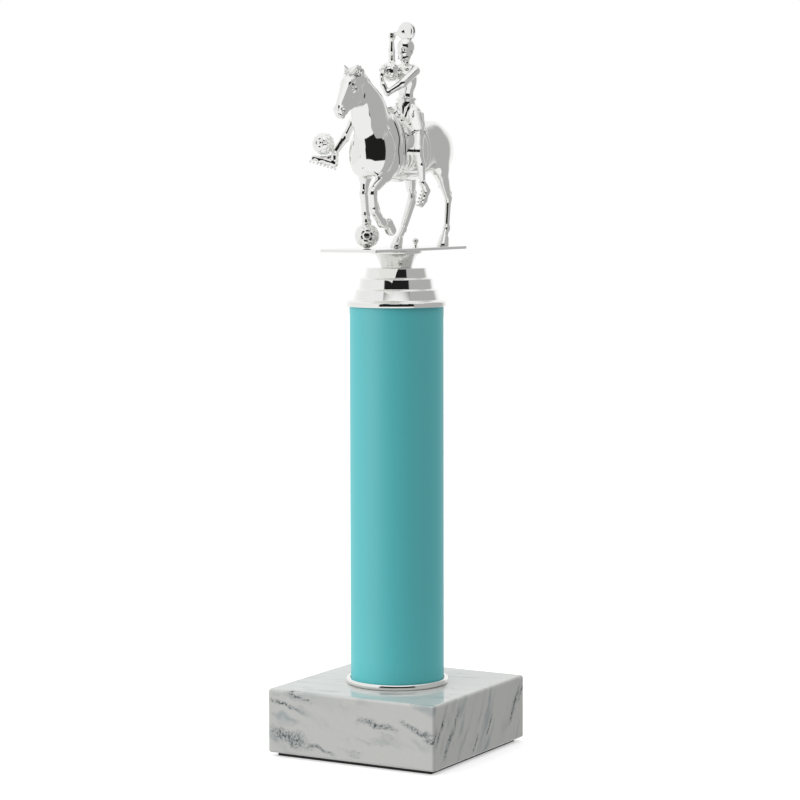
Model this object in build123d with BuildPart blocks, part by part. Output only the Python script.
"""Column trophy: marble block, matt tube and silver riding figure, drawn together by one central rod.

Millimetres, +Z up. The origin is on the column's axis at the underside of the pad.
The horse faces -Y, so its left side, which is also the rider's, is towards +X.
"""
from build123d import *
import os

# ---------------------------------------------------------------- driving dimensions
# Marble block and the pad under it
base_width = 100.0  # side of the square block
base_height = 34.0
base_edge_radius = 1.5
pad_inset = 4.0  # the pad stops short of the block's edge by this much
pad_thickness = 2.0

# Central clamp: an M6 rod with a nut and a washer let into the block's underside
rod_diameter = 6.0
rod_hole_clearance = 0.3  # radial, where the rod passes through a piece
thread_clearance = 0.05  # radial, where the rod is screwed into a piece
nut_across_flats = 10.0
nut_height = 5.0
washer_diameter = 18.0
washer_thickness = 1.6
counterbore_margin = 3.0  # radial room for a socket around the washer
counterbore_depth = 10.0
rod_tail = 1.0  # rod that stands out below the nut

# Column
tube_diameter = 49.5
tube_wall = 2.0
tube_length = 200.0
tube_seat_clearance = 0.25  # radial, tube in its two metal seats
plug_clearance = 0.1  # radial, plugs in the tube's bore
plug_height = 12.0

# Lower trim ring
ring_wall = 2.2
ring_floor = 1.2
ring_overlap = 1.8  # how far the rim stands up the tube
ring_bead_radius = 0.8

# Stepped cap: flange, then one (foot radius, top radius, height) for each step going up
cap_flange_wall = 1.2
cap_overlap = 1.2  # how far the flange hangs down the tube
cap_flange_height = 2.9
cap_flange_edge_radius = 0.9
cap_tread_rise = 0.5
cap_step_draft = [1.4, 0.75, 1.0]  # how much each riser draws in, lowest step first
cap_step_height = [5.3, 5.3, 5.2]
cap_tread = [3.6, 1.45, 2.3]  # tread in front of each step, lowest step first
cap_wall = 3.0

# Flared stem and brass insert under the figure
stem_foot_radius = 8.0
stem_neck_radius = 11.8
stem_lip_radius = 13.5
stem_lip_thickness = 1.6
stem_height = 9.1
insert_radius = 4.5
insert_length = 6.0
insert_clearance = 0.05

# Figure plate
plate_width = 33.2
plate_length = 96.5
plate_thickness = 1.5
plate_offset = -1.3  # the plate's centre along Y
plate_edge_radius = 0.4

# Balls and tee
hoof_ball_radius = 6.5
kick_ball_radius = 5.85
held_ball_radius = 5.2
tee_ball_radius = 1.6
tee_foot_radius = 1.7
tee_cup_radius = 1.15
tee_shaft_radius = 0.65
tee_height = 1.9
tee_place = (7.0, 8.0)

# Horse, heights above the plate
withers_height = 66.5
barrel_half_width = 10.8
barrel_half_depth = 15.8
foreleg_spread = 5.6  # legs from the middle of the body
hindleg_spread = 6.2
hoof_radius = 3.3
hoof_height = 4.2
cannon_radius = 2.0
saddle_thickness = 0.9
girth_width = 4.0
girth_thickness = 0.6

# Rider, heights above the horse's back
hip_height = 6.5
shoulder_height = 28.2
shoulder_half_width = 6.4
head_height = 39.7
head_half_width = 4.3
head_half_height = 5.5
helmet_thickness = 0.6
thigh_radius = 3.0
sleeve_radius = 3.9
knee_radius = 2.2
ankle_radius = 1.8
elbow_radius = 1.8
wrist_radius = 1.4
fist_radius = 2.3
bat_radius = 4.9
bat_thickness = 1.6
bat_handle_radius = 0.9

# ---------------------------------------------------------------- places that follow
pad_top = pad_thickness
base_top = pad_top + base_height
tube_bottom = base_top + ring_floor
tube_top = tube_bottom + tube_length
tube_radius = tube_diameter / 2
bore_radius = tube_radius - tube_wall
seat_radius = tube_radius + tube_seat_clearance
rod_radius = rod_diameter / 2
rod_hole_radius = rod_radius + rod_hole_clearance
thread_hole_radius = rod_radius + thread_clearance
counterbore_ceiling = pad_top + counterbore_depth
washer_bottom = counterbore_ceiling - washer_thickness
nut_bottom = washer_bottom - nut_height
cap_bottom = tube_top - cap_overlap
cap_flange_radius = seat_radius + cap_flange_wall
cap_flange_top = cap_bottom + cap_flange_height
cap_top = cap_flange_top + len(cap_tread) * cap_tread_rise + sum(cap_step_height)
plate_bottom = cap_top + stem_height
plate_top = plate_bottom + plate_thickness
back_height = withers_height - 3.0  # the hollow of the back, where the rider sits


def above_plate(x, y, height):
    """Point of the horse, given its height above the plate."""
    return Vector(x, y, plate_top + height)


def above_back(x, y, height):
    """Point of the rider, given its height above the horse's back."""
    return Vector(x, y, plate_top + back_height + height)


def sections(stations):
    """Planes square to a path of (point, half width, half depth), each with its two half sizes."""
    placed = []
    for index, (point, across, deep) in enumerate(stations):
        before = stations[max(index - 1, 0)][0]
        after = stations[min(index + 1, len(stations) - 1)][0]
        placed.append((Plane(origin=point, x_dir=(1, 0, 0), z_dir=after - before), across, deep))
    return placed


def bones(joints):
    """Pairs of round ends, one pair for each bone of a limb given as (joint, radius)."""
    pairs = []
    for (start, start_radius), (end, end_radius) in zip(joints, joints[1:]):
        along = end - start
        start_section = (Plane(origin=start, z_dir=along), start_radius)
        end_section = (Plane(origin=end, z_dir=along), end_radius)
        pairs.append((start_section, end_section))
    return pairs


os.makedirs("parts", exist_ok=True)

# ---------------------------------------------------------------- pad, block and clamp
pad_width = base_width - 2 * pad_inset
with BuildPart() as base_pad:
    Box(pad_width, pad_width, pad_thickness, align=(Align.CENTER, Align.CENTER, Align.MIN))
base_pad.part.label = "base_pad"
export_step(base_pad.part, "parts/base_pad.step")

counterbore_radius = washer_diameter / 2 + counterbore_margin
with BuildPart() as marble_base:
    with BuildSketch(Plane.XY.offset(pad_top)):
        Rectangle(base_width, base_width)
    extrude(amount=base_height)
    fillet(marble_base.edges(), radius=base_edge_radius)
    with BuildSketch(Plane.XY.offset(pad_top)):
        Circle(rod_hole_radius)
    extrude(amount=base_height, mode=Mode.SUBTRACT)
    with BuildSketch(Plane.XY.offset(pad_top)):
        Circle(counterbore_radius)
    extrude(amount=counterbore_depth, mode=Mode.SUBTRACT)
marble_base.part.label = "marble_base"
export_step(marble_base.part, "parts/marble_base.step")

with BuildPart() as base_washer:
    with BuildSketch(Plane.XY.offset(washer_bottom)):
        Circle(washer_diameter / 2)
        Circle(rod_hole_radius, mode=Mode.SUBTRACT)
    extrude(amount=washer_thickness)
base_washer.part.label = "base_washer"
export_step(base_washer.part, "parts/base_washer.step")

with BuildPart() as base_nut:
    with BuildSketch(Plane.XY.offset(nut_bottom)):
        RegularPolygon(nut_across_flats / 2, 6, major_radius=False)
        Circle(thread_hole_radius, mode=Mode.SUBTRACT)
    extrude(amount=nut_height)
base_nut.part.label = "base_nut"
export_step(base_nut.part, "parts/base_nut.step")

insert_bottom = cap_top
rod_bottom = nut_bottom - rod_tail
rod_top = insert_bottom + insert_length - rod_tail
with BuildPart() as threaded_rod:
    with BuildSketch(Plane.XY.offset(rod_bottom)):
        Circle(rod_radius)
    extrude(amount=rod_top - rod_bottom)
    chamfer(threaded_rod.edges().filter_by(GeomType.CIRCLE), length=0.5)
threaded_rod.part.label = "threaded_rod"
export_step(threaded_rod.part, "parts/threaded_rod.step")

# ---------------------------------------------------------------- column
ring_radius = seat_radius + ring_wall
ring_top = tube_bottom + ring_overlap
with BuildPart() as lower_trim_ring:
    with BuildSketch(Plane.XZ):
        with BuildLine():
            Polyline(
                (rod_hole_radius, base_top),
                (ring_radius, base_top),
                (ring_radius, ring_top),
                (seat_radius, ring_top),
                (seat_radius, tube_bottom),
                (rod_hole_radius, tube_bottom),
                close=True,
            )
        make_face()
    revolve(axis=Axis.Z)
    rim_edges = lower_trim_ring.edges().filter_by(GeomType.CIRCLE).group_by(Axis.Z)[-1]
    fillet(rim_edges.sort_by(SortBy.RADIUS)[-1], radius=ring_bead_radius)
lower_trim_ring.part.label = "lower_trim_ring"
export_step(lower_trim_ring.part, "parts/lower_trim_ring.step")

with BuildPart() as column_tube:
    with BuildSketch(Plane.XY.offset(tube_bottom)):
        Circle(tube_radius)
        Circle(bore_radius, mode=Mode.SUBTRACT)
    extrude(amount=tube_length)
column_tube.part.label = "column_tube"
export_step(column_tube.part, "parts/column_tube.step")

with BuildPart() as lower_centering_plug:
    with BuildSketch(Plane.XY.offset(tube_bottom)):
        Circle(bore_radius - plug_clearance)
        Circle(rod_hole_radius, mode=Mode.SUBTRACT)
    extrude(amount=plug_height)
lower_centering_plug.part.label = "lower_centering_plug"
export_step(lower_centering_plug.part, "parts/lower_centering_plug.step")

with BuildPart() as upper_centering_plug:
    with BuildSketch(Plane.XY.offset(tube_top - plug_height)):
        Circle(bore_radius - plug_clearance)
        Circle(rod_hole_radius, mode=Mode.SUBTRACT)
    extrude(amount=plug_height)
upper_centering_plug.part.label = "upper_centering_plug"
export_step(upper_centering_plug.part, "parts/upper_centering_plug.step")

# Outer outline of the cap from the flange's foot to the top, and the hollow that follows it inside
cap_outline = [(cap_flange_radius, cap_bottom), (cap_flange_radius, cap_flange_top)]
cap_hollow = []
step_radius = cap_flange_radius
step_foot = cap_flange_top
for tread, draft, height in zip(cap_tread, cap_step_draft, cap_step_height):
    step_radius -= tread
    step_foot += cap_tread_rise
    cap_outline.append((step_radius, step_foot))
    step_radius -= draft
    step_foot += height
    cap_outline.append((step_radius, step_foot))
    cap_hollow.append((step_radius - cap_wall, step_foot - cap_wall))

with BuildPart() as stepped_cap:
    with BuildSketch(Plane.XZ):
        with BuildLine():
            Polyline((0, cap_bottom), *cap_outline, (0, cap_top), close=True)
        make_face()
    revolve(axis=Axis.Z)
    flange_edge = stepped_cap.edges().filter_by(GeomType.CIRCLE).group_by(SortBy.RADIUS)[-1]
    fillet(flange_edge.sort_by(Axis.Z)[-1], radius=cap_flange_edge_radius)
    with BuildSketch(Plane.XY.offset(cap_bottom)):
        Circle(seat_radius)
    extrude(amount=cap_overlap, mode=Mode.SUBTRACT)
    for hollow_radius, hollow_top in cap_hollow:
        with BuildSketch(Plane.XY.offset(cap_bottom)):
            Circle(hollow_radius)
        extrude(amount=hollow_top - cap_bottom, mode=Mode.SUBTRACT)
    with BuildSketch(Plane.XY.offset(cap_bottom)):
        Circle(rod_hole_radius)
    extrude(amount=cap_top - cap_bottom, mode=Mode.SUBTRACT)
stepped_cap.part.label = "stepped_cap"
export_step(stepped_cap.part, "parts/stepped_cap.step")

# ---------------------------------------------------------------- stem, insert and plate
lip_bottom = plate_bottom - stem_lip_thickness
flare_middle = ((stem_foot_radius + stem_neck_radius) / 2 - 0.7, (cap_top + lip_bottom) / 2 + 0.4)
pocket_radius = insert_radius + insert_clearance
with BuildPart() as figure_stem:
    with BuildSketch(Plane.XZ):
        with BuildLine():
            Line((0, cap_top), (stem_foot_radius, cap_top))
            ThreePointArc((stem_foot_radius, cap_top), flare_middle, (stem_neck_radius, lip_bottom))
            Line((stem_neck_radius, lip_bottom), (stem_lip_radius, lip_bottom))
            Line((stem_lip_radius, lip_bottom), (stem_lip_radius, plate_bottom))
            Line((stem_lip_radius, plate_bottom), (0, plate_bottom))
            Line((0, plate_bottom), (0, cap_top))
        make_face()
    revolve(axis=Axis.Z)
    with BuildSketch(Plane.XY.offset(cap_top)):
        Circle(pocket_radius)
    extrude(amount=insert_length, mode=Mode.SUBTRACT)
figure_stem.part.label = "figure_stem"
export_step(figure_stem.part, "parts/figure_stem.step")

with BuildPart() as stem_insert:
    with BuildSketch(Plane.XY.offset(insert_bottom)):
        Circle(insert_radius)
        Circle(thread_hole_radius, mode=Mode.SUBTRACT)
    extrude(amount=insert_length)
stem_insert.part.label = "stem_insert"
export_step(stem_insert.part, "parts/stem_insert.step")

with BuildPart() as figure_plate:
    with BuildSketch(Plane(origin=(0, plate_offset, plate_bottom))):
        Rectangle(plate_width, plate_length)
    extrude(amount=plate_thickness)
    fillet(figure_plate.edges().filter_by(Axis.Z), radius=plate_edge_radius)
    fillet(figure_plate.faces().sort_by(Axis.Z)[-1].edges(), radius=plate_edge_radius)
figure_plate.part.label = "figure_plate"
export_step(figure_plate.part, "parts/figure_plate.step")

# ---------------------------------------------------------------- tee, and the balls that stand alone
with BuildPart() as tee_peg:
    with BuildSketch(Plane(origin=above_plate(*tee_place, 0), x_dir=(1, 0, 0), z_dir=(0, -1, 0))):
        with BuildLine():
            Polyline(
                (0, 0),
                (tee_foot_radius, 0),
                (tee_shaft_radius, tee_height / 2),
                (tee_cup_radius, tee_height),
                (0, tee_height),
                close=True,
            )
        make_face()
    revolve(axis=Axis(above_plate(*tee_place, 0), (0, 0, 1)))
tee_peg.part.label = "tee_peg"
export_step(tee_peg.part, "parts/tee_peg.step")

with BuildPart() as tee_ball:
    with Locations(above_plate(*tee_place, tee_height + tee_ball_radius * 0.8)):
        Sphere(tee_ball_radius)
    add(tee_peg.part, mode=Mode.SUBTRACT)
tee_ball.part.label = "tee_ball"
export_step(tee_ball.part, "parts/tee_ball.step")

hoof_ball_y = -21.0
with BuildPart() as hoof_ball:
    with Locations(above_plate(-foreleg_spread, hoof_ball_y, hoof_ball_radius)):
        Sphere(hoof_ball_radius)
hoof_ball.part.label = "hoof_ball"
export_step(hoof_ball.part, "parts/hoof_ball.step")

# ---------------------------------------------------------------- horse
# Barrel, chest to rump: place along Y, height of the middle, half width, half depth
barrel_stations = [
    (-33.5, 51.5, 5.6, 8.0),
    (-29.0, withers_height - 15.0, 8.6, 12.5),
    (-20.0, withers_height - 15.4, 9.8, 14.8),
    (-8.0, withers_height - barrel_half_depth, 9.6, barrel_half_depth),
    (5.0, withers_height - 16.6, 10.4, 15.5),
    (18.0, withers_height - 16.4, barrel_half_width, 15.1),
    (30.0, withers_height - 14.9, barrel_half_width - 0.2, 14.8),
    (39.0, withers_height - 13.9, barrel_half_width - 1.2, 12.6),
    (44.5, withers_height - 13.2, barrel_half_width - 4.2, 8.2),
]
# Neck and head: point, half width, half depth
neck_stations = [
    (above_plate(0, -17.0, 57.0), 8.2, 14.0),
    (above_plate(0, -23.5, 66.5), 6.4, 11.6),
    (above_plate(0, -29.0, 75.5), 5.2, 9.6),
    (above_plate(0, -34.5, 84.0), 4.6, 7.6),
    (above_plate(0, -38.5, 88.6), 4.0, 5.4),
]
head_stations = [
    (above_plate(0, -39.0, 90.0), 3.2, 3.8),
    (above_plate(0, -44.0, 85.0), 4.6, 7.0),
    (above_plate(0, -49.5, 80.0), 4.2, 6.2),
    (above_plate(0, -53.5, 75.0), 3.3, 4.6),
    (above_plate(0, -56.0, 71.6), 3.0, 3.8),
    (above_plate(0, -57.6, 69.4), 2.0, 2.4),
]
ear_stations = [
    (above_plate(3.0, -40.6, 89.4), 1.4, 1.1),
    (above_plate(3.7, -42.8, 92.6), 1.3, 1.0),
    (above_plate(3.6, -46.4, 95.6), 0.25, 0.25),
]
with BuildPart() as horse_body:
    for y, middle, half_width, half_depth in barrel_stations:
        with BuildSketch(Plane(origin=above_plate(0, y, middle), x_dir=(1, 0, 0), z_dir=(0, 1, 0))):
            Ellipse(half_width, half_depth)
    loft()
    for plane, across, deep in sections(neck_stations):
        with BuildSketch(plane):
            Ellipse(across, deep)
    loft()
    for plane, across, deep in sections(head_stations):
        with BuildSketch(plane):
            Ellipse(across, deep)
    loft()
    for plane, across, deep in sections(ear_stations):
        with BuildSketch(plane):
            Ellipse(across, deep)
    loft()
    mirror(about=Plane.YZ)
horse_body.part.label = "horse_body"
export_step(horse_body.part, "parts/horse_body.step")

mane_stations = [
    (above_plate(0, -36.0, 94.0), 0.9, 1.0),
    (above_plate(0, -29.6, 90.6), 1.3, 1.8),
    (above_plate(0, -22.0, 81.4), 1.3, 1.9),
    (above_plate(0, -13.6, 72.8), 1.2, 1.8),
    (above_plate(0, -5.6, 67.6), 0.8, 1.0),
]
with BuildPart() as horse_mane:
    for plane, across, deep in sections(mane_stations):
        with BuildSketch(plane):
            Ellipse(across, deep)
    loft(ruled=True)
    add(horse_body.part, mode=Mode.SUBTRACT)
horse_mane.part.label = "horse_mane"
export_step(horse_mane.part, "parts/horse_mane.step")

# Legs, shoulder or hip to the top of the hoof: point, half width, half depth
near_fore_stations = [
    (above_plate(foreleg_spread, -14.0, 46.0), 4.2, 6.0),
    (above_plate(foreleg_spread + 0.3, -22.0, 38.5), 3.5, 4.6),
    (above_plate(foreleg_spread + 0.6, -31.0, 32.5), 2.6, 3.0),
    (above_plate(foreleg_spread + 0.8, -35.6, 28.0), 2.4, 2.6),
    (above_plate(foreleg_spread + 0.8, -36.0, 22.0), cannon_radius, cannon_radius),
    (above_plate(foreleg_spread + 0.8, -32.0, 16.5), cannon_radius, cannon_radius),
    (above_plate(foreleg_spread + 0.8, -26.5, 13.2), 2.2, 2.4),
    (above_plate(foreleg_spread + 0.8, -22.0, 11.6), 2.1, 2.2),
    (above_plate(foreleg_spread + 0.8, -19.6, 10.9), 2.6, 2.8),
    (above_plate(foreleg_spread + 0.8, -15.6, 9.6), hoof_radius, hoof_radius),
]
with BuildPart() as near_foreleg:
    for plane, across, deep in sections(near_fore_stations):
        with BuildSketch(plane):
            Ellipse(across, deep)
    loft(ruled=True)
    add(horse_body.part, mode=Mode.SUBTRACT)
near_foreleg.part.label = "near_foreleg"
export_step(near_foreleg.part, "parts/near_foreleg.step")

hoof_ball_top = 2 * hoof_ball_radius
far_fore_stations = [
    (above_plate(-foreleg_spread, -19.0, 48.0), 4.0, 6.0),
    (above_plate(-foreleg_spread, -22.5, 39.0), 3.3, 4.4),
    (above_plate(-foreleg_spread, -23.8, 32.0), 2.5, 3.0),
    (above_plate(-foreleg_spread, -23.6, 28.0), 2.4, 2.6),
    (above_plate(-foreleg_spread, -22.6, 22.0), cannon_radius, cannon_radius),
    (above_plate(-foreleg_spread, hoof_ball_y - 1.0, hoof_ball_top + 3.5), 2.2, 2.3),
    (above_plate(-foreleg_spread, hoof_ball_y - 0.4, hoof_ball_top - 1.0), 2.6, 2.8),
]
with BuildPart() as far_foreleg:
    for plane, across, deep in sections(far_fore_stations):
        with BuildSketch(plane):
            Ellipse(across, deep)
    loft(ruled=True)
    add(horse_body.part, mode=Mode.SUBTRACT)
    add(hoof_ball.part, mode=Mode.SUBTRACT)
far_foreleg.part.label = "far_foreleg"
export_step(far_foreleg.part, "parts/far_foreleg.step")

near_hind_stations = [
    (above_plate(hindleg_spread - 0.4, 35.0, 54.0), 5.2, 8.6),
    (above_plate(hindleg_spread + 0.3, 34.0, 43.0), 4.2, 6.4),
    (above_plate(hindleg_spread + 0.3, 38.0, 33.5), 2.9, 4.0),
    (above_plate(hindleg_spread + 0.2, 42.0, 25.0), 2.2, 3.0),
    (above_plate(hindleg_spread + 0.1, 42.0, 20.5), 2.0, 2.5),
    (above_plate(hindleg_spread + 0.1, 40.8, 13.0), cannon_radius, cannon_radius),
    (above_plate(hindleg_spread + 0.1, 39.8, 8.6), 2.2, 2.4),
    (above_plate(hindleg_spread + 0.1, 38.2, hoof_height), 2.3, 2.5),
]
near_hind_hoof = (hindleg_spread + 0.1, 37.0)
with BuildPart() as near_hindleg:
    for plane, across, deep in sections(near_hind_stations):
        with BuildSketch(plane):
            Ellipse(across, deep)
    loft(ruled=True)
    with BuildSketch(Plane(origin=above_plate(*near_hind_hoof, 0))):
        Circle(hoof_radius)
    pastern_foot = above_plate(near_hind_hoof[0], near_hind_hoof[1] + 1.0, hoof_height + 0.6)
    with BuildSketch(Plane(origin=pastern_foot)):
        Circle(hoof_radius - 0.8)
    loft(ruled=True)
    add(horse_body.part, mode=Mode.SUBTRACT)
near_hindleg.part.label = "near_hindleg"
export_step(near_hindleg.part, "parts/near_hindleg.step")

far_hind_stations = [
    (above_plate(-hindleg_spread + 0.4, 31.0, 54.0), 5.0, 8.0),
    (above_plate(-hindleg_spread - 0.2, 26.0, 43.0), 4.0, 6.0),
    (above_plate(-hindleg_spread, 26.5, 34.0), 2.8, 3.9),
    (above_plate(-hindleg_spread + 0.4, 28.5, 25.5), 2.2, 2.9),
    (above_plate(-hindleg_spread + 0.6, 26.5, 20.5), 2.0, 2.5),
    (above_plate(-hindleg_spread + 0.8, 20.5, 13.5), cannon_radius, cannon_radius),
    (above_plate(-hindleg_spread + 1.0, 16.0, 8.8), 2.2, 2.4),
    (above_plate(-hindleg_spread + 1.1, 11.5, hoof_height), 2.3, 2.5),
]
far_hind_hoof = (-hindleg_spread + 1.2, 7.8)
with BuildPart() as far_hindleg:
    for plane, across, deep in sections(far_hind_stations):
        with BuildSketch(plane):
            Ellipse(across, deep)
    loft(ruled=True)
    with BuildSketch(Plane(origin=above_plate(*far_hind_hoof, 0))):
        Circle(hoof_radius)
    with BuildSketch(Plane(origin=above_plate(far_hind_hoof[0], far_hind_hoof[1] + 2.4, hoof_height + 0.6))):
        Circle(hoof_radius - 0.8)
    loft(ruled=True)
    add(horse_body.part, mode=Mode.SUBTRACT)
far_hindleg.part.label = "far_hindleg"
export_step(far_hindleg.part, "parts/far_hindleg.step")

tail_stations = [
    (above_plate(0, 42.0, 64.0), 1.5, 1.6),
    (above_plate(0, 46.0, 60.0), 1.9, 1.9),
    (above_plate(0, 47.4, 51.0), 2.1, 2.1),
    (above_plate(0, 46.8, 40.0), 1.8, 1.9),
    (above_plate(0, 45.6, 31.0), 0.7, 0.8),
]
with BuildPart() as horse_tail:
    for plane, across, deep in sections(tail_stations):
        with BuildSketch(plane):
            Ellipse(across, deep)
    loft(ruled=True)
    add(horse_body.part, mode=Mode.SUBTRACT)
    add(near_hindleg.part, mode=Mode.SUBTRACT)
    add(far_hindleg.part, mode=Mode.SUBTRACT)
horse_tail.part.label = "horse_tail"
export_step(horse_tail.part, "parts/horse_tail.step")

# Saddle cloth: the barrel's own sections, made larger by the cloth, between two planes and above the girth
saddle_front = -16.0
saddle_back = 17.4
saddle_hem_height = withers_height - 29.9
saddle_middle = (saddle_front + saddle_back) / 2
with BuildPart() as saddle_cloth:
    for y, middle, half_width, half_depth in barrel_stations[1:-2]:
        with BuildSketch(Plane(origin=above_plate(0, y, middle), x_dir=(1, 0, 0), z_dir=(0, 1, 0))):
            Ellipse(half_width + saddle_thickness, half_depth + saddle_thickness)
    loft()
    split(bisect_by=Plane(origin=(0, saddle_front, 0), z_dir=(0, 1, 0)), keep=Keep.TOP)
    split(bisect_by=Plane(origin=(0, saddle_back, 0), z_dir=(0, 1, 0)), keep=Keep.BOTTOM)
    split(bisect_by=Plane.XY.offset(plate_top + saddle_hem_height), keep=Keep.TOP)
    add(horse_body.part, mode=Mode.SUBTRACT)
    add(near_foreleg.part, mode=Mode.SUBTRACT)
    add(far_foreleg.part, mode=Mode.SUBTRACT)
    add(horse_mane.part, mode=Mode.SUBTRACT)
saddle_cloth.part.label = "saddle_cloth"
export_step(saddle_cloth.part, "parts/saddle_cloth.step")

with BuildPart() as girth:
    for y, middle, half_width, half_depth in barrel_stations[1:-2]:
        with BuildSketch(Plane(origin=above_plate(0, y, middle), x_dir=(1, 0, 0), z_dir=(0, 1, 0))):
            Ellipse(half_width + girth_thickness, half_depth + girth_thickness)
    loft()
    split(bisect_by=Plane(origin=(0, saddle_middle - girth_width / 2, 0), z_dir=(0, 1, 0)), keep=Keep.TOP)
    split(bisect_by=Plane(origin=(0, saddle_middle + girth_width / 2, 0), z_dir=(0, 1, 0)), keep=Keep.BOTTOM)
    split(bisect_by=Plane.XY.offset(plate_top + saddle_hem_height), keep=Keep.BOTTOM)
    add(horse_body.part, mode=Mode.SUBTRACT)
girth.part.label = "girth"
export_step(girth.part, "parts/girth.step")

# ---------------------------------------------------------------- rider
torso_stations = [
    (above_back(0, 11.4, 0.0), 5.4, 4.6),
    (above_back(0, 11.2, hip_height), 5.4, 4.5),
    (above_back(0, 10.6, 14.0), 4.4, 3.7),
    (above_back(0, 10.8, 21.0), 5.4, 4.1),
    (above_back(0, 10.5, shoulder_height - 1.4), shoulder_half_width + 0.2, 3.8),
    (above_back(0, 10.5, shoulder_height + 1.8), shoulder_half_width - 2.6, 3.0),
    (above_back(0, 10.4, shoulder_height + 4.2), 1.9, 1.9),
    (above_back(0, 10.2, head_height - 3.2), 1.8, 1.8),
]
with BuildPart() as rider_torso:
    for plane, across, deep in sections(torso_stations):
        with BuildSketch(plane):
            Ellipse(across, deep)
    loft(ruled=True)
    add(horse_body.part, mode=Mode.SUBTRACT)
    add(saddle_cloth.part, mode=Mode.SUBTRACT)
rider_torso.part.label = "rider_torso"
export_step(rider_torso.part, "parts/rider_torso.step")

head_middle = above_back(0, 10.0, head_height)
head_axis = Axis(head_middle, (0, 0, 1))
head_plane = Plane(origin=head_middle, x_dir=(1, 0, 0), z_dir=(0, -1, 0))
nose_tip = head_middle + Vector(0, -head_half_width - 0.7, -1.2)
with BuildPart() as rider_head:
    with BuildSketch(head_plane):
        Ellipse(head_half_width, head_half_height)
        Rectangle(
            2 * head_half_width,
            3 * head_half_height,
            align=(Align.MIN, Align.CENTER),
            mode=Mode.INTERSECT,
        )
    revolve(axis=head_axis)
    with BuildSketch(Plane(origin=nose_tip, z_dir=(0, 1, 0))):
        Circle(0.45)
    with BuildSketch(Plane(origin=nose_tip + Vector(0, 1.6, 0.6), z_dir=(0, 1, 0))):
        Circle(1.1)
    loft()
    add(rider_torso.part, mode=Mode.SUBTRACT)
rider_head.part.label = "rider_head"
export_step(rider_head.part, "parts/rider_head.step")

with BuildPart() as rider_cap:
    with BuildSketch(head_plane):
        Ellipse(head_half_width + helmet_thickness, head_half_height + helmet_thickness)
        Rectangle(
            2 * head_half_width,
            3 * head_half_height,
            align=(Align.MIN, Align.CENTER),
            mode=Mode.INTERSECT,
        )
    revolve(axis=head_axis)
    split(bisect_by=Plane(origin=head_middle + Vector(0, 0, 1.0), z_dir=(0, 0.35, 1)), keep=Keep.TOP)
    add(rider_head.part, mode=Mode.SUBTRACT)
rider_cap.part.label = "rider_cap"
export_step(rider_cap.part, "parts/rider_cap.step")

held_ball_middle = above_back(-4.8, 1.8, shoulder_height)
with BuildPart() as held_ball:
    with Locations(held_ball_middle):
        Sphere(held_ball_radius)
    add(rider_torso.part, mode=Mode.SUBTRACT)
held_ball.part.label = "held_ball"
export_step(held_ball.part, "parts/held_ball.step")

near_hip = above_back(5.4, 10.0, hip_height)
near_knee = above_back(12.8, 1.0, -13.5)
near_ankle = above_back(13.0, 4.5, -29.5)
far_hip = above_back(-5.0, 10.0, hip_height)
far_knee = above_back(-21.5, -8.5, 1.8)
far_ankle = above_back(-28.0, -16.5, -14.6)
sleeve_share = 0.5  # how far down the thigh the shorts reach
near_hem = near_hip + (near_knee - near_hip) * sleeve_share
far_hem = far_hip + (far_knee - far_hip) * sleeve_share

waist_stations = [(above_back(0, 11.3, 0), 6.2, 5.4), (above_back(0, 11.0, 10.0), 5.6, 4.8)]
with BuildPart() as rider_shorts:
    with Locations(near_hip, far_hip):
        Sphere(sleeve_radius)
    for ends in bones([(near_hip, sleeve_radius), (near_hem, sleeve_radius - 0.4)]):
        for plane, radius in ends:
            with BuildSketch(plane):
                Circle(radius)
        loft(ruled=True)
    for ends in bones([(far_hip, sleeve_radius), (far_hem, sleeve_radius - 0.4)]):
        for plane, radius in ends:
            with BuildSketch(plane):
                Circle(radius)
        loft(ruled=True)
    for plane, across, deep in sections(waist_stations):
        with BuildSketch(plane):
            Ellipse(across, deep)
    loft(ruled=True)
    add(rider_torso.part, mode=Mode.SUBTRACT)
    add(horse_body.part, mode=Mode.SUBTRACT)
    add(saddle_cloth.part, mode=Mode.SUBTRACT)
    add(horse_mane.part, mode=Mode.SUBTRACT)
rider_shorts.part.label = "rider_shorts"
export_step(rider_shorts.part, "parts/rider_shorts.step")

near_arm_joints = [
    (above_back(shoulder_half_width, 7.8, shoulder_height), 2.2),
    (above_back(-2.0, -2.2, 17.6), elbow_radius),
    (above_back(-6.6, -4.2, shoulder_height - 2.6), wrist_radius),
]
with BuildPart() as near_arm:
    for ends in bones(near_arm_joints):
        for plane, radius in ends:
            with BuildSketch(plane):
                Circle(radius)
        loft()
    for joint, radius in near_arm_joints:
        with Locations(joint):
            Sphere(radius + 0.05)
    add(rider_torso.part, mode=Mode.SUBTRACT)
    add(held_ball.part, mode=Mode.SUBTRACT)
near_arm.part.label = "near_arm"
export_step(near_arm.part, "parts/near_arm.step")

far_fist = above_back(-8.9, 11.2, 48.6)
bat_middle = above_back(-0.4, 12.0, 49.6)
with BuildPart() as round_bat:
    with BuildSketch(Plane(origin=bat_middle + Vector(0, -bat_thickness / 2, 0), z_dir=(0, 1, 0))):
        Circle(bat_radius)
    extrude(amount=bat_thickness)
    with BuildSketch(Plane(origin=bat_middle, z_dir=far_fist - bat_middle)):
        Circle(bat_handle_radius)
    extrude(amount=(far_fist - bat_middle).length + fist_radius + 0.8)
    add(rider_head.part, mode=Mode.SUBTRACT)
    add(rider_cap.part, mode=Mode.SUBTRACT)
round_bat.part.label = "round_bat"
export_step(round_bat.part, "parts/round_bat.step")

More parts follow.
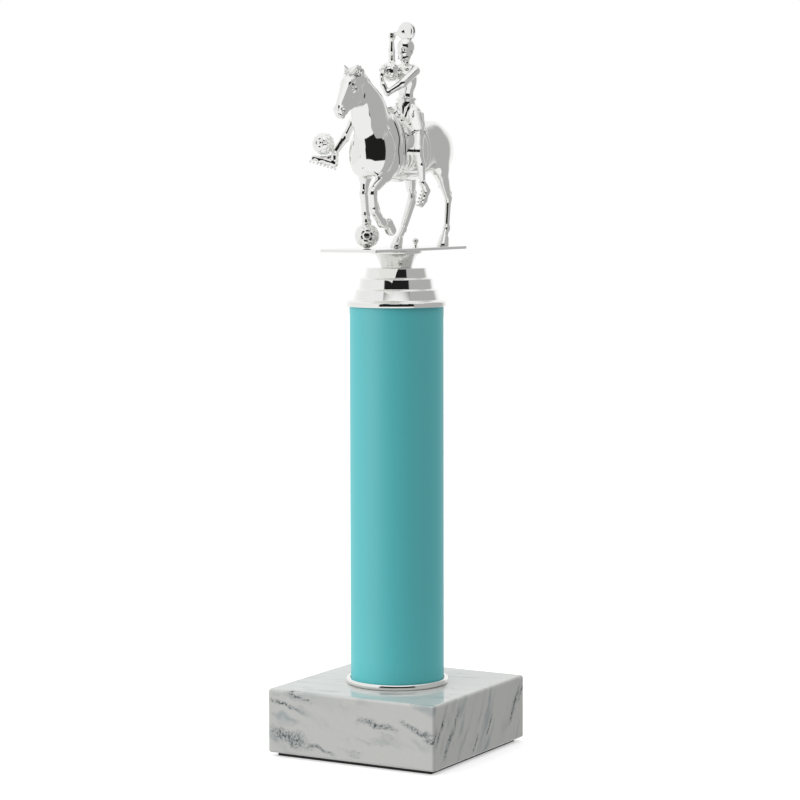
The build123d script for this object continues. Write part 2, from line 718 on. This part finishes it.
far_arm_joints = [
    (above_back(-shoulder_half_width, 9.4, shoulder_height), 2.2),
    (above_back(-10.0, 13.0, 34.5), elbow_radius),
    (far_fist, wrist_radius),
]
with BuildPart() as far_arm:
    for ends in bones(far_arm_joints):
        for plane, radius in ends:
            with BuildSketch(plane):
                Circle(radius)
        loft()
    for joint, radius in far_arm_joints[:-1]:
        with Locations(joint):
            Sphere(radius + 0.05)
    with Locations(far_fist):
        Sphere(fist_radius)
    add(rider_torso.part, mode=Mode.SUBTRACT)
    add(rider_head.part, mode=Mode.SUBTRACT)
    add(rider_cap.part, mode=Mode.SUBTRACT)
    add(round_bat.part, mode=Mode.SUBTRACT)
far_arm.part.label = "far_arm"
export_step(far_arm.part, "parts/far_arm.step")

near_leg_joints = [(near_hip, thigh_radius), (near_knee, knee_radius), (near_ankle, ankle_radius)]
with BuildPart() as near_leg:
    for ends in bones(near_leg_joints):
        for plane, radius in ends:
            with BuildSketch(plane):
                Circle(radius)
        loft()
    with Locations(near_knee):
        Sphere(knee_radius + 0.05)
    add(rider_shorts.part, mode=Mode.SUBTRACT)
    add(rider_torso.part, mode=Mode.SUBTRACT)
    add(saddle_cloth.part, mode=Mode.SUBTRACT)
    add(horse_body.part, mode=Mode.SUBTRACT)
near_leg.part.label = "near_leg"
export_step(near_leg.part, "parts/near_leg.step")

kick_ball_middle = above_back(-32.5, -19.7, -9.3)
with BuildPart() as kick_ball:
    with Locations(kick_ball_middle):
        Sphere(kick_ball_radius)
kick_ball.part.label = "kick_ball"
export_step(kick_ball.part, "parts/kick_ball.step")

far_leg_joints = [(far_hip, thigh_radius), (far_knee, knee_radius), (far_ankle, ankle_radius)]
with BuildPart() as far_leg:
    for ends in bones(far_leg_joints):
        for plane, radius in ends:
            with BuildSketch(plane):
                Circle(radius)
        loft()
    with Locations(far_knee):
        Sphere(knee_radius + 0.05)
    add(rider_shorts.part, mode=Mode.SUBTRACT)
    add(rider_torso.part, mode=Mode.SUBTRACT)
    add(saddle_cloth.part, mode=Mode.SUBTRACT)
    add(horse_body.part, mode=Mode.SUBTRACT)
    add(kick_ball.part, mode=Mode.SUBTRACT)
far_leg.part.label = "far_leg"
export_step(far_leg.part, "parts/far_leg.step")

# Boots: the foot from heel to toe, then the collar round the ankle
near_foot_joints = [
    (above_back(14.2, 8.6, -33.4), 2.5),
    (above_back(13.3, 5.8, -37.2), 2.4),
    (above_back(12.8, 3.6, -42.0), 1.6),
]
near_collar_joints = [(near_ankle, ankle_radius + 0.3), (above_back(13.8, 7.2, -33.6), 2.3)]
with BuildPart() as near_boot:
    for ends in bones(near_foot_joints) + bones(near_collar_joints):
        for plane, radius in ends:
            with BuildSketch(plane):
                Circle(radius)
        loft()
    for joint, radius in near_foot_joints:
        with Locations(joint):
            Sphere(radius + 0.05)
    add(near_leg.part, mode=Mode.SUBTRACT)
near_boot.part.label = "near_boot"
export_step(near_boot.part, "parts/near_boot.step")

far_foot_joints = [
    (above_back(-27.8, -16.0, -20.0), 2.3),
    (kick_ball_middle + Vector(0, 0, -kick_ball_radius - 1.7), 2.0),
    (above_back(-37.6, -22.6, -15.4), 1.4),
]
far_collar_joints = [(far_ankle, ankle_radius + 0.3), (above_back(-28.2, -16.4, -19.6), 2.2)]
with BuildPart() as far_boot:
    for ends in bones(far_foot_joints) + bones(far_collar_joints):
        for plane, radius in ends:
            with BuildSketch(plane):
                Circle(radius)
        loft()
    for joint, radius in far_foot_joints:
        with Locations(joint):
            Sphere(radius + 0.05)
    add(far_leg.part, mode=Mode.SUBTRACT)
    add(kick_ball.part, mode=Mode.SUBTRACT)
far_boot.part.label = "far_boot"
export_step(far_boot.part, "parts/far_boot.step")
